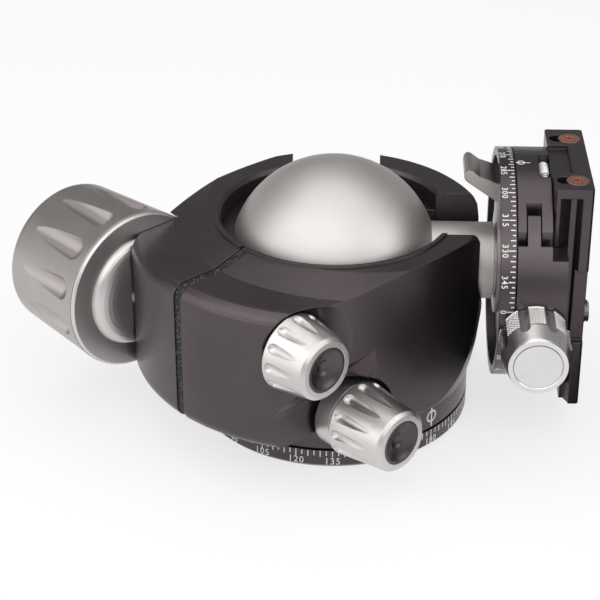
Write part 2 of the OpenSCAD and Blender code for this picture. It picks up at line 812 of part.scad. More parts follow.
module clamp_jaw() {
    color(dark) difference() {
        union() {
            intersection() {
                clamp_disc(clamp_end - body_x);
                translate([body_x - over, -clamp_d - jaw_side, 0]) cube([clamp_d, clamp_d, clamp_d * 2]);
            }
            intersection() {
                clamp_disc(lip_end - body_x);
                mirror([0, 1, 0]) translate([0, 0, ball_z - lip_half]) linear_extrude(height = lip_half * 2)
                    difference() {
                        lip_profile(plate_w / 2 + gap);
                        translate([clamp_end - 2 * over, 0]) square([2 * over + lip_root, jaw_side]);
                    }
            }
            clamp_tongues(tongue_w, tongue_y, jaw_side + over);
        }
        on_jaw_axis(0) cylinder(r = jaw_screw_r + fit, h = clamp_d);
        on_jaw_axis(knob_face_y - gap) cylinder(r = jaw_knob_d / 2 + gap, h = clamp_d);
        for (z = pin_z) translate([pin_x, 0, ball_z + z]) rotate([90, 0, 0])
            cylinder(r = pin_r, h = pin_y[1]);
    }
}

module jaw_guide_pins() {
    color(steel) for (z = pin_z) translate([pin_x, -pin_y[0], ball_z + z]) rotate([90, 0, 0])
        cylinder(r = pin_r, h = pin_y[1] - pin_y[0]);
}

jaw_cap_r = 6.1;
jaw_cap_t = 1.2;
jaw_ring_r = 7.9;
jaw_flute_r = 1.7;
jaw_flute_out_share = 0.4;
jaw_flute_start_share = 0.66;
jaw_body_share = 0.62;
jaw_knob_edge = 0.8;
jaw_face_bevel = [0.4, 1.2];

module jaw_screw() {
    start = jaw_screw_y + jaw_travel;
    color(steel) on_jaw_axis(start)
        cylinder(r = jaw_screw_r, h = knob_face_y + jaw_knob_len - jaw_cap_t - fit - start);
}

module jaw_knob() {
    r = jaw_knob_d / 2;
    len = jaw_knob_len;
    color(silver) on_jaw_axis(knob_face_y) difference() {
        rotate_extrude() polygon([[jaw_screw_r, 0], [r - jaw_knob_edge, 0], [r, jaw_knob_edge],
            [r, len * jaw_body_share], [jaw_ring_r, len - jaw_face_bevel[1]],
            [jaw_ring_r - jaw_face_bevel[0], len], [jaw_cap_r, len], [jaw_cap_r, len - jaw_cap_t],
            [jaw_screw_r, len - jaw_cap_t]]);
        for (i = [0:jaw_flutes - 1]) rotate([0, 0, (i + 0.5) * 360 / jaw_flutes])
            translate([r + jaw_flute_r * jaw_flute_out_share, 0, len * jaw_flute_start_share])
                mirror([0, 0, 1]) flute_cutter(jaw_flute_r, len);
    }
}

module jaw_knob_cap() {
    color(silver) on_jaw_axis(knob_face_y + jaw_knob_len - jaw_cap_t + fit)
        cylinder(r = jaw_cap_r - fit, h = jaw_cap_t - 2 * fit);
}

// Quick-release plate
flange_t = 1.5;
flange_edge = plate_x + flange_t;
groove_start = 4.5;
groove_end = 6;
groove_x = [plate_x + groove_start, plate_x + groove_end];
groove_in = 3;
slab_start = 7.2;
slab_x = plate_x + slab_start;
relief_z = [29, 50];
relief_in = 1.8;
pad_half = 15.5;
pad_z = [15, 69];
pad_t = 1.2;
pad_hole_gap = 1;
end_pocket = [5.3, 17.4, 1.2];
stop_in = 6.2;
stop_slot_in = 3.1;
stop_x = plate_x + stop_in;
stop_slot_x = plate_x + stop_slot_in;
stop_slot_r = 2.3;
stop_slot_depth = 2.2;
stop_head_r = 2.95;
stop_head_h = 1.3;
stop_shaft_r = 1.5;
stop_shaft_len = 8;
camera_head_r = 8;
camera_head_t = 3.4;
camera_neck_r = 2.6;
plate_bevel = 0.6;
// At the bottom the flanges end short of the slab, by this depth and height
foot_step = [5, 3.9];
// At the top the grooves end in a solid block
end_block = 2.5;

module plate_profile() {
    w = plate_w / 2;
    half = [[plate_x, w - plate_bevel], [plate_x + plate_bevel, w], [flange_edge, w],
        [groove_x[0], w - groove_in], [groove_x[1], w - groove_in], [slab_x, w - plate_bevel],
        [slab_x, w], [plate_end - plate_bevel, w], [plate_end, w - plate_bevel]];
    polygon(concat(half, [for (i = [len(half) - 1:-1:0]) [half[i][0], -half[i][1]]]));
}

module stop_screw_places() {
    for (s = [-1, 1]) translate([stop_x, s * stop_screw_y, plate_top]) children();
}

module qr_plate() {
    color(dark) difference() {
        union() {
            translate([0, 0, plate_bottom]) linear_extrude(height = plate_top - plate_bottom)
                plate_profile();
            translate([plate_x + plate_bevel, -plate_w / 2, plate_top - end_block])
                cube([plate_t - plate_bevel * 2, plate_w, end_block]);
        }
        for (s = [0, 1]) mirror([0, s, 0])
            translate([groove_x[1], plate_w / 2 - relief_in, relief_z[0]])
                cube([plate_t, relief_in + over, relief_z[1] - relief_z[0]]);
        translate([plate_end - pad_t, -pad_half, pad_z[0]])
            cube([pad_t + over, pad_half * 2, pad_z[1] - pad_z[0]]);
        translate([plate_x - over, -end_pocket[1] / 2, plate_top - end_pocket[2]])
            cube([end_pocket[0] + over, end_pocket[1], end_pocket[2] + over]);
        translate([plate_x - over, -plate_w, plate_bottom - over])
            cube([foot_step[0] + over, plate_w * 2, foot_step[1] + over]);
        stop_screw_places() {
            translate([0, 0, -stop_head_h - fit]) cylinder(r = stop_head_r + fit, h = stop_head_h + over);
            translate([0, 0, -stop_shaft_len - stop_head_h])
                cylinder(r = stop_shaft_r, h = stop_shaft_len + over);
            translate([stop_slot_x - stop_x, -stop_slot_r, -stop_slot_depth])
                cube([stop_x - stop_slot_x, stop_slot_r * 2, stop_slot_depth + over]);
            translate([stop_slot_x - stop_x, 0, -stop_slot_depth])
                cylinder(r = stop_slot_r, h = stop_slot_depth + over);
        }
        translate([plate_x - over, 0, camera_screw_z]) rotate([0, 90, 0])
            cylinder(d = camera_thread_d + gap, h = plate_t * 2);
        translate([plate_x - over, 0, camera_screw_z]) rotate([0, 90, 0])
            cylinder(r = camera_head_r + gap, h = over + gap * 2 + camera_head_t);
    }
}

module plate_pad() {
    color([0.12, 0.12, 0.12]) difference() {
        translate([plate_end - pad_t + fit, -pad_half + fit, pad_z[0] + fit])
            cube([pad_t, pad_half * 2 - 2 * fit, pad_z[1] - pad_z[0] - 2 * fit]);
        translate([plate_x, 0, camera_screw_z]) rotate([0, 90, 0])
            cylinder(r = camera_thread_d / 2 + pad_hole_gap, h = plate_t * 2);
    }
}

module camera_screw() {
    slot_half = 0.6;
    coin_slot_depth = 1.4;
    color(steel) difference() {
        translate([plate_x + gap, 0, camera_screw_z]) rotate([0, 90, 0]) {
            cylinder(r = camera_head_r, h = camera_head_t);
            cylinder(r = camera_neck_r, h = plate_t + camera_screw_out - gap);
            translate([0, 0, plate_t]) cylinder(d = camera_thread_d, h = camera_screw_out - gap);
        }
        translate([plate_x, -slot_half, camera_screw_z - camera_head_r - over])
            cube([coin_slot_depth + gap, slot_half * 2, camera_head_r * 2 + 2 * over]);
    }
}

module plate_stop_screws() {
    drive_r = 0.95;
    lobe_r = 0.4;
    lobes = 6;
    drive_depth = 0.8;
    color(copper) stop_screw_places() difference() {
        union() {
            translate([0, 0, -stop_head_h]) cylinder(r = stop_head_r, h = stop_head_h);
            translate([0, 0, -stop_head_h - stop_shaft_len + fit])
                cylinder(r = stop_shaft_r, h = stop_shaft_len);
        }
        translate([0, 0, -drive_depth]) {
            cylinder(r = drive_r, h = drive_depth + over);
            for (i = [0:lobes - 1]) rotate([0, 0, i * 360 / lobes]) translate([drive_r, 0, 0])
                cylinder(r = lobe_r, h = drive_depth + over);
        }
    }
}

pan_base();
thread_insert();
pan_hub();
hub_screws();
pan_washer_lower();
pan_washer_upper();
ball_housing();
slot_seal();
seat_ring();
lower_ball_cup();
main_thread_insert();
pan_brake_shoe();
pan_lock_screw();
pan_lock_collar();
pan_lock_knob();
pan_lock_cap();
drag_screw();
drag_plunger();
drag_knob();
drag_cap();
main_clamp_screw();
main_washer();
main_collar();
main_grip();
main_cap();
ball_stem();
pan_lever();
clamp_scale_ring();
clamp_thrust_washer();
clamp_bolt();
clamp_body();
level_holder();
level_vial();
clamp_jaw();
jaw_guide_pins();
jaw_screw();
jaw_knob();
jaw_knob_cap();
qr_plate();
plate_pad();
camera_screw();
plate_stop_screws();
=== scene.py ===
import json
import math

import bmesh
import bpy
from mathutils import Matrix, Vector


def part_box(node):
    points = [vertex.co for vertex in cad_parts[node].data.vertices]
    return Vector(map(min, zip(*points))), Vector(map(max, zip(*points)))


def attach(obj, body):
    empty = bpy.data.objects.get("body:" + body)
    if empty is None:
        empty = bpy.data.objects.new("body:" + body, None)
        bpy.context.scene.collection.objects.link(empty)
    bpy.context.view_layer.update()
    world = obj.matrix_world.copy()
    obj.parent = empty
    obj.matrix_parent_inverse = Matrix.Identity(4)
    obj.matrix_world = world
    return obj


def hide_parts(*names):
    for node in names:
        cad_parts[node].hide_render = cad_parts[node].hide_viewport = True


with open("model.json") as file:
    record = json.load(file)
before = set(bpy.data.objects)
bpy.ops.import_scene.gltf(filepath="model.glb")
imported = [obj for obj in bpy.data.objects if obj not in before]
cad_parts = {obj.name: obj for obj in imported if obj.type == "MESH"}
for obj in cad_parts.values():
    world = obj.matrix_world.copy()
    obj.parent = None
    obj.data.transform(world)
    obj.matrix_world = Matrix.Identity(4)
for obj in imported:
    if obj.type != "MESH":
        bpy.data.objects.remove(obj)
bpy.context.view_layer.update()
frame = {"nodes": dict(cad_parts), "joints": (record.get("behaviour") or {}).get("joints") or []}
scene = bpy.context.scene
scene.view_settings.view_transform = "Standard"
nodes = frame["nodes"]
MM = 0.001


def mm(*place):
    """A place in mm as a vector in metres."""
    return Vector(place) * MM


def cad(node_name):
    """Lowest and highest corners of a CAD node, in mm."""
    return [[round(v / MM, 3) for v in corner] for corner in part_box(node_name)]


def pivot(joint_name):
    """A place on a joint's axis, in mm."""
    joint = next(j for j in frame["joints"] if j["name"] == joint_name)
    return [round(v / MM, 3) for v in joint["pos_m"]]


# Camera, fitted to the photograph: place in mm, and the way it looks
CAMERA_PLACE = (7.49, -453.81, 280.67)
CAMERA_LOOK = (-0.0318, 0.8749, -0.4833)
CAMERA_LENS = 114.0
CAMERA_SENSOR = 36.0
CLIP = (0.01, 20.0)

cam_data = bpy.data.cameras.new("camera")
cam_data.lens = CAMERA_LENS
cam_data.sensor_width = CAMERA_SENSOR
cam_data.clip_start, cam_data.clip_end = CLIP
camera = bpy.data.objects.new("camera", cam_data)
scene.collection.objects.link(camera)
camera.location = mm(*CAMERA_PLACE)
camera.rotation_euler = Vector(CAMERA_LOOK).normalized().to_track_quat("-Z", "Y").to_euler()
scene.camera = camera


# Shader helpers
def new_material(name):
    material = bpy.data.materials.new(name)
    material.use_nodes = True
    nt = material.node_tree
    nt.nodes.clear()
    out = nt.nodes.new("ShaderNodeOutputMaterial")
    bsdf = nt.nodes.new("ShaderNodeBsdfPrincipled")
    nt.links.new(bsdf.outputs["BSDF"], out.inputs["Surface"])
    return material, nt, bsdf


def node(nt, kind, **values):
    """A new node, with sockets or properties set by name."""
    n = nt.nodes.new(kind)
    for key, value in values.items():
        if key in n.inputs:
            n.inputs[key].default_value = value
        else:
            setattr(n, key, value)
    return n


def noise(nt, scale, detail):
    """Noise in object space, in waves per metre."""
    coord = node(nt, "ShaderNodeTexCoord")
    n = node(nt, "ShaderNodeTexNoise", Scale=scale, Detail=detail)
    nt.links.new(coord.outputs["Object"], n.inputs["Vector"])
    return n.outputs["Fac"]


def span(nt, value, low, high, from_low=0.3, from_high=0.7):
    """Maps from_low to from_high onto low to high. Noise lies mostly between 0.3 and 0.7."""
    n = node(nt, "ShaderNodeMapRange")
    n.inputs["From Min"].default_value = from_low
    n.inputs["From Max"].default_value = from_high
    n.inputs["To Min"].default_value = low
    n.inputs["To Max"].default_value = high
    nt.links.new(value, n.inputs["Value"])
    return n.outputs["Result"]


def mix_colour(nt, fac, first, second):
    n = node(nt, "ShaderNodeMix", data_type="RGBA")
    nt.links.new(fac, n.inputs["Factor"])
    colours = [socket for socket in n.inputs if socket.type == "RGBA"]
    colours[0].default_value = (*first, 1)
    colours[1].default_value = (*second, 1)
    return next(socket for socket in n.outputs if socket.type == "RGBA")


def maths(nt, operation, first, second=None):
    """A maths node. Each operand is a number or a socket."""
    n = node(nt, "ShaderNodeMath", operation=operation)
    for socket, value in zip(n.inputs, (first, second)):
        if isinstance(value, (int, float)):
            socket.default_value = value
        elif value is not None:
            nt.links.new(value, socket)
    return n.outputs[0]


def bump(nt, height, distance, normal=None):
    n = node(nt, "ShaderNodeBump", Distance=distance)
    nt.links.new(height, n.inputs["Height"])
    if normal is not None:
        nt.links.new(normal, n.inputs["Normal"])
    return n.outputs["Normal"]


def soft_edges(nt, radius):
    return node(nt, "ShaderNodeBevel", samples=4, Radius=radius).outputs["Normal"]


# Finishes. Scales are in waves per metre, and depths and edges in metres
CLOUD_SCALE = 60.0
METAL_SPREAD = 0.05
PLASTIC_SPREAD = 0.06


def metal(name, light, dark, rough, grain=9000.0, grain_depth=0.02 * MM, edge=0.3 * MM, metallic=1.0):
    """A machined, blasted or anodised metal: mottled colour and gloss, a fine grain and soft edges."""
    material, nt, bsdf = new_material(name)
    cloud = noise(nt, CLOUD_SCALE, 3.0)
    nt.links.new(mix_colour(nt, span(nt, cloud, 0, 1), dark, light), bsdf.inputs["Base Color"])
    bsdf.inputs["Metallic"].default_value = metallic
    fine = noise(nt, grain, 2.0)
    gloss = span(nt, fine, rough - METAL_SPREAD, rough + METAL_SPREAD)
    nt.links.new(gloss, bsdf.inputs["Roughness"])
    normal = soft_edges(nt, edge) if edge else None
    nt.links.new(bump(nt, fine, grain_depth, normal), bsdf.inputs["Normal"])
    return material


def plastic(name, light, dark, rough, depth=0.01 * MM, scale=4000.0):
    """A moulded, rubber or painted surface: mottled colour and gloss, and a grain."""
    material, nt, bsdf = new_material(name)
    cloud = noise(nt, scale, 2.0)
    nt.links.new(mix_colour(nt, span(nt, cloud, 0, 1), dark, light), bsdf.inputs["Base Color"])
    gloss = span(nt, cloud, rough - PLASTIC_SPREAD, rough + PLASTIC_SPREAD)
    nt.links.new(gloss, bsdf.inputs["Roughness"])
    nt.links.new(bump(nt, cloud, depth), bsdf.inputs["Normal"])
    return material


def pebbled_foam():
    """Black foam with small lighter pebbles."""
    material, nt, bsdf = new_material("foam")
    coord = node(nt, "ShaderNodeTexCoord")
    cells = node(nt, "ShaderNodeTexVoronoi", Scale=1100.0)
    nt.links.new(coord.outputs["Object"], cells.inputs["Vector"])
    reach = cells.outputs["Distance"]
    speck = span(nt, reach, 1, 0, from_low=0.05, from_high=0.45)
    colour = mix_colour(nt, speck, (0.006, 0.006, 0.006), (0.12, 0.115, 0.11))
    nt.links.new(colour, bsdf.inputs["Base Color"])
    bsdf.inputs["Roughness"].default_value = 0.7
    dome = span(nt, reach, 1, 0, from_low=0.0, from_high=0.6)
    nt.links.new(bump(nt, dome, 0.3 * MM), bsdf.inputs["Normal"])
    return material


def spun_face(axis_x, axis_z):
    """A lathe-turned face round an axis along Y: fine rings, and a gloss that streaks along them."""
    material, nt, bsdf = new_material("spun_face")
    coord = node(nt, "ShaderNodeTexCoord")
    split = node(nt, "ShaderNodeSeparateXYZ")
    nt.links.new(coord.outputs["Object"], split.inputs[0])
    dx = maths(nt, "SUBTRACT", split.outputs["X"], axis_x * MM)
    dz = maths(nt, "SUBTRACT", split.outputs["Z"], axis_z * MM)
    square = maths(nt, "ADD", maths(nt, "MULTIPLY", dx, dx), maths(nt, "MULTIPLY", dz, dz))
    rings = node(nt, "ShaderNodeTexNoise", noise_dimensions="1D", Scale=9000.0, Detail=3.0)
    nt.links.new(maths(nt, "SQRT", square), rings.inputs["W"])
    wave = rings.outputs["Fac"]
    colour = mix_colour(nt, span(nt, wave, 0, 1), (0.62, 0.62, 0.62), (0.82, 0.82, 0.81))
    nt.links.new(colour, bsdf.inputs["Base Color"])
    bsdf.inputs["Metallic"].default_value = 1.0
    bsdf.inputs["Roughness"].default_value = 0.3
    bsdf.inputs["Anisotropic"].default_value = 0.8
    around = node(nt, "ShaderNodeCombineXYZ")
    nt.links.new(dz, around.inputs["X"])
    nt.links.new(maths(nt, "MULTIPLY", dx, -1.0), around.inputs["Z"])
    unit = node(nt, "ShaderNodeVectorMath", operation="NORMALIZE")
    nt.links.new(around.outputs[0], unit.inputs[0])
    nt.links.new(unit.outputs[0], bsdf.inputs["Tangent"])
    nt.links.new(bump(nt, wave, 0.012 * MM), bsdf.inputs["Normal"])
    return material


def vial_glass():
    """Clear glass drawn as an opaque, pale, slightly mottled base colour under a clear coat: a painted
    reflection of the white surroundings.
    """
    material, nt, bsdf = new_material("vial_glass")
    tint = noise(nt, 300.0, 1.0)
    # Painted reflection: this pale colour stands in for the white surroundings seen in and through clear
    # glass.
    colour = mix_colour(nt, span(nt, tint, 0, 1), (0.78, 0.82, 0.76), (0.86, 0.88, 0.84))
    nt.links.new(colour, bsdf.inputs["Base Color"])
    bsdf.inputs["Roughness"].default_value = 0.08
    bsdf.inputs["Coat Weight"].default_value = 0.6
    bsdf.inputs["Subsurface Weight"].default_value = 0.2
    bsdf.inputs["Subsurface Radius"].default_value = (1 * MM, 1 * MM, 1 * MM)
    return material


anodised = metal("dark_anodised", (0.1, 0.083, 0.087), (0.082, 0.068, 0.072), 0.29,
                 edge=0.4 * MM, metallic=0.9)
blasted = metal("blasted_silver", (0.62, 0.59, 0.575), (0.57, 0.545, 0.53), 0.5,
                grain=5000.0, grain_depth=0.03 * MM)
collar_metal = metal("collar_silver", (0.68, 0.66, 0.65), (0.64, 0.62, 0.61), 0.36)
knob_metal = metal("knob_silver", (0.66, 0.63, 0.62), (0.6, 0.57, 0.56), 0.34, edge=0.4 * MM)
knurled = metal("knurled_silver", (0.74, 0.72, 0.71), (0.66, 0.64, 0.63), 0.24, edge=0)
titanium = metal("titanium_grey", (0.46, 0.425, 0.415), (0.41, 0.38, 0.37), 0.36, edge=0.5 * MM)
spun = metal("spun_silver", (0.78, 0.78, 0.77), (0.72, 0.72, 0.71), 0.25)
steel = metal("steel", (0.55, 0.55, 0.56), (0.48, 0.48, 0.5), 0.3)
copper = metal("copper_screw", (0.62, 0.32, 0.25), (0.52, 0.26, 0.2), 0.28, edge=0.25 * MM)
brass = metal("brass", (0.7, 0.52, 0.25), (0.6, 0.44, 0.2), 0.3)
bearing = plastic("bearing_plastic", (0.8, 0.8, 0.77), (0.74, 0.74, 0.71), 0.5)
black_plastic = plastic("black_plastic", (0.01, 0.01, 0.01), (0.006, 0.006, 0.006), 0.55)
pad_rubber = plastic("pad_rubber", (0.075, 0.065, 0.065), (0.05, 0.045, 0.045), 0.6,
                     depth=0.3 * MM, scale=900.0)
paint = plastic("printed_marks", (0.72, 0.7, 0.68), (0.66, 0.64, 0.62), 0.5, depth=0.005 * MM)
ink = plastic("vial_lines", (0.02, 0.02, 0.02), (0.01, 0.01, 0.01), 0.3, depth=0.002 * MM)
foam = pebbled_foam()
glass = vial_glass()

# Each finish, with the CAD nodes that have it
FINISHES = [
    (anodised, ["pan_base", "ball_housing", "seat_ring", "pan_lock_cap", "drag_cap", "main_cap",
                "clamp_scale_ring", "clamp_body", "clamp_jaw", "qr_plate"]),
    (blasted, ["ball_stem"]),
    (collar_metal, ["main_collar", "pan_lock_collar"]),
    (knob_metal, ["pan_lock_knob", "drag_knob"]),
    (titanium, ["main_grip", "pan_lever"]),
    (spun, ["jaw_knob", "jaw_knob_cap", "level_vial"]),
    (steel, ["thread_insert", "pan_hub", "hub_screws", "pan_lock_screw", "drag_screw", "main_clamp_screw",
             "main_washer", "clamp_bolt", "jaw_guide_pins", "jaw_screw", "camera_screw"]),
    (copper, ["plate_stop_screws"]),
    (brass, ["main_thread_insert", "drag_plunger"]),
    (bearing, ["pan_washer_lower", "pan_washer_upper", "lower_ball_cup", "pan_brake_shoe",
               "clamp_thrust_washer"]),
    (black_plastic, ["level_holder"]),
    (foam, ["slot_seal"]),
    (pad_rubber, ["plate_pad"]),
]
for finish, names in FINISHES:
    for name in names:
        nodes[name].data.materials.clear()
        nodes[name].data.materials.append(finish)


# Mesh helpers. Lengths are in mm
MERGE_DISTANCE = 0.0001 * MM
BOX_FACES = [(3, 2, 1, 0), (4, 5, 6, 7), (0, 1, 5, 4), (1, 2, 6, 5), (2, 3, 7, 6), (3, 0, 4, 7)]


def piece(name, bm, body, material, replaced=None, smooth=None):
    """Makes a piece of a bmesh. smooth is the least angle of an edge that stays sharp, in degrees."""
    bmesh.ops.remove_doubles(bm, verts=bm.verts, dist=MERGE_DISTANCE)
    mesh = bpy.data.meshes.new(name)
    bm.to_mesh(mesh)
    bm.free()
    o = bpy.data.objects.new(name, mesh)
    scene.collection.objects.link(o)
    mesh.materials.append(material)
    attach(o, body)
    if replaced:
        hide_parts(replaced)
    if smooth:
        mesh.shade_smooth()
        mesh.set_sharp_from_angle(angle=math.radians(smooth))
    return o


def add_solid(bm, points, faces, wrap=mm):
    """Adds a solid, with each point taken to its place by wrap."""
    verts = [bm.verts.new(wrap(*p)) for p in points]
    for face in faces:
        bm.faces.new([verts[i] for i in face])


def turned(profile, steps, place, radius=lambda angle, r, y: r):
    """A closed solid of revolution. profile is [(r, y)], and starts and ends on the axis or at one point."""
    bm = bmesh.new()
    rows = []
    for r, y in profile:
        row = []
        for i in range(steps if r else 1):
            angle = 2 * math.pi * i / steps
            q = radius(angle, r, y) if r else 0
            row.append(bm.verts.new(place(q * math.cos(angle), q * math.sin(angle), y)))
        rows.append(row)
    for lower, upper in zip(rows, rows[1:]):
        for i in range(steps):
            j = (i + 1) % steps
            if len(lower) == 1:
                bm.faces.new((lower[0], upper[j], upper[i]))
            elif len(upper) == 1:
                bm.faces.new((lower[i], lower[j], upper[0]))
            else:
                bm.faces.new((lower[i], lower[j], upper[j], upper[i]))
    bmesh.ops.recalc_face_normals(bm, faces=bm.faces)
    return bm


# Printed marks: thin solids, half sunk in the cylinder that carries them
MARK_LIFT = 0.03
TICK_W = 0.3
DIGIT_WIDTH_SHARE = 0.78
FONT_OFFSET = 0.01
NUMBER_STEP = 15
MEDIUM_STEP = 5
TICK_STEP = 2.5


def digit_shape(character):
    """Vertices and faces of a digit of the built-in font, 1 deep."""
    curve = bpy.data.curves.new("digit", "FONT")
    curve.body = character
    curve.offset = FONT_OFFSET
    curve.extrude = 0.5
    curve.resolution_u = 3
    o = bpy.data.objects.new("digit", curve)
    scene.collection.objects.link(o)
    mesh = bpy.data.meshes.new_from_object(o.evaluated_get(bpy.context.evaluated_depsgraph_get()))
    points = [tuple(v.co) for v in mesh.vertices]
    faces = [tuple(p.vertices) for p in mesh.polygons]
    bpy.data.objects.remove(o)
    bpy.data.curves.remove(curve)
    bpy.data.meshes.remove(mesh)
    return points, faces


DIGITS = {c: digit_shape(c) for c in "0123456789"}


def extent(points, axis):
    values = [p[axis] for p in points]
    return min(values), max(values)


def add_number(bm, text, x, y, cap, advance, wrap):
    """A number centred on x, with its digits' feet on y, cap high."""
    left, right = extent(DIGITS["0"][0], 0)
    stretch = advance * DIGIT_WIDTH_SHARE / (right - left)
    for i, character in enumerate(text):
        points, faces = DIGITS[character]
        left, right = extent(points, 0)
        foot, top = extent(points, 1)
        middle = (left + right) / 2
        at = x + (i - (len(text) - 1) / 2) * advance
        shaped = [(at + (px - middle) * stretch, y + (py - foot) / (top - foot) * cap, pz * 2 * MARK_LIFT)
                  for px, py, pz in points]
        add_solid(bm, shaped, faces, wrap)


def add_bar(bm, width, low, high, wrap):
    """A bar along y, centred on x = 0."""
    corners = ((-width / 2, low), (width / 2, low), (width / 2, high), (-width / 2, high))
    add_solid(bm, [(x, y, lift) for lift in (-MARK_LIFT, MARK_LIFT) for x, y in corners], BOX_FACES, wrap)


def add_ring(bm, y, outer, inner, steps, wrap):
    """A flat ring round x = 0."""
    section = ((outer, -MARK_LIFT), (outer, MARK_LIFT), (inner, MARK_LIFT), (inner, -MARK_LIFT))
    points = []
    faces = []
    for i in range(steps):
        angle = 2 * math.pi * i / steps
        points += [(r * math.cos(angle), y + r * math.sin(angle), lift) for r, lift in section]
        start = len(section) * i
        following = len(section) * ((i + 1) % steps)
        for k in range(len(section)):
            n = (k + 1) % len(section)
            faces.append((start + k, following + k, following + n, start + n))
    add_solid(bm, points, faces, wrap)


def wrap_upright(azimuth):
    """Wraps (x, y, out) on the base: x runs counter-clockwise from the azimuth, and y upwards."""
    def wrap(x, y, out):
        angle = math.radians(azimuth) + x / BASE_R
        return mm((BASE_R + out) * math.cos(angle), (BASE_R + out) * math.sin(angle), y)
    return wrap


def wrap_clamp(theta):
    """Wraps (x, y, out) on the clamp: x runs from the top towards -Y, and y along the stem."""
    def wrap(x, y, out):
        angle = math.radians(theta) + x / CLAMP_R
        return mm(y, -(CLAMP_R + out) * math.sin(angle), BALL_Z + (CLAMP_R + out) * math.cos(angle))
    return wrap


def scale_marks(wrap, number_y, cap, advance, tick_top, tick_lengths):
    """Ticks that hang from tick_top, with a number at each long one. wrap(n) puts marks at number n."""
    short, medium, long = tick_lengths
    bm = bmesh.new()
    for i in range(int(360 / TICK_STEP)):
        n = i * TICK_STEP
        numbered = n % NUMBER_STEP == 0
        length = long if numbered else medium if n % MEDIUM_STEP == 0 else short
        add_bar(bm, TICK_W, tick_top - length, tick_top, wrap(n))
        if numbered:
            add_number(bm, str(int(n)), 0, number_y, cap, advance, wrap(n))
    return bm


def index_marks(wrap, ring_y, ring_r, steps, line_w, line_low, line_high):
    """A ring with a line through it. ring_r is its outer and inner radius."""
    bm = bmesh.new()
    add_ring(bm, ring_y, *ring_r, steps, wrap)
    add_bar(bm, line_w, line_low, line_high, wrap)
    return bm


# Places of the marks. The zeros of the scales and the index marks are angles read from the photograph
BASE_R = cad("pan_base")[1][0]
BASE_TOP = cad("pan_base")[1][2]
HOUSING_FOOT = cad("ball_housing")[0][2]
RING_START_X = cad("clamp_scale_ring")[0][0]
RING_END_X = cad("clamp_scale_ring")[1][0]
CLAMP_R = 30.55
BALL_Z = pivot("ball_tilt")[2]
BASE_ZERO = -43.65 - 180
RING_ZERO = -271.98
HOUSING_INDEX = -43.7
CLAMP_INDEX = 6.2

marks = scale_marks(lambda n: wrap_upright(BASE_ZERO + n), number_y=1.25, cap=2.0, advance=1.5,
                    tick_top=BASE_TOP - 0.1, tick_lengths=(1.45, 1.85, 2.1))
piece("base_scale_marks", marks, "base", paint)

marks = scale_marks(lambda n: wrap_clamp(RING_ZERO + n), number_y=RING_START_X + 0.2, cap=1.6, advance=1.22,
                    tick_top=RING_END_X - 0.25, tick_lengths=(0.8, 1.3, 1.7))
piece("clamp_ring_marks", marks, "clamp_mount", paint)

marks = index_marks(wrap_upright(HOUSING_INDEX), ring_y=HOUSING_FOOT + 3.7, ring_r=(1.8, 1.35), steps=40,
                    line_w=0.45, line_low=HOUSING_FOOT + 0.5, line_high=HOUSING_FOOT + 6.2)
piece("housing_index_mark", marks, "housing", paint)

marks = index_marks(wrap_clamp(CLAMP_INDEX), ring_y=RING_END_X + 1.7, ring_r=(0.98, 0.72), steps=28,
                    line_w=0.24, line_low=RING_END_X + 0.3, line_high=RING_END_X + 4.1)
piece("clamp_index_mark", marks, "clamp", paint)

# Jaw knob: a knurled barrel with round-ended flutes and a smooth nose, its axis along -Y
KNOB_X, _, KNOB_Z = pivot("jaw_knob_turn")
KNOB_FACE_Y = cad("jaw_knob")[1][1]
KNOB_LEN = KNOB_FACE_Y - cad("jaw_knob")[0][1]
KNOB_R = 9.0
BACK_RING_R = 3.0
KNOB_EDGE = 0.8
KNOB_SIDES = 576
NOSE_START = KNOB_LEN * 0.62
NOSE_END = KNOB_LEN - 1.2
NOSE_IN = 1.1
NOSE_STEPS = 24
FACE_EDGE = [(7.75, KNOB_LEN - 0.5), (7.5, KNOB_LEN)]
CAP_R = 6.1
CAP_SEAT = KNOB_LEN - 0.5
SEAT_BEVEL = 0.25
KNURL_TURN = 64
KNURL_PITCH = 0.88
KNURL_DEPTH = 0.3
KNURL_SPAN = (1.0, 9.5)
KNURL_ROW = 0.125
KNURL_ROWS = 72
FLUTES = 8
FLUTE_R = 1.7
FLUTE_AXIS_R = 9.68
FLUTE_END = KNOB_LEN * 0.66
FLUTED_FROM_R = KNOB_R - 1.2


def knob_place(x, z, y):
    return mm(KNOB_X + x, KNOB_FACE_Y - y, KNOB_Z + z)


def knob_radius(angle, r, y):
    """Radius at an angle and a distance y from the knob's back face: a knurl, cut by the flutes."""
    if r < FLUTED_FROM_R:
        return r
    if KNURL_SPAN[0] < y < KNURL_SPAN[1]:
        u = angle * KNURL_TURN / (2 * math.pi)
        v = y / KNURL_PITCH
        ridges = [abs((u + s * v) % 1 - 0.5) * 2 for s in (1, -1)]
        r -= KNURL_DEPTH * (1 - min(ridges))
    step = 2 * math.pi / FLUTES
    off = angle % step - step / 2
    reach = FLUTE_R ** 2 - max(0, y - FLUTE_END) ** 2
    across = FLUTE_AXIS_R * math.sin(off)
    if reach > across ** 2:
        r = min(r, FLUTE_AXIS_R * math.cos(off) - math.sqrt(reach - across ** 2))
    return r


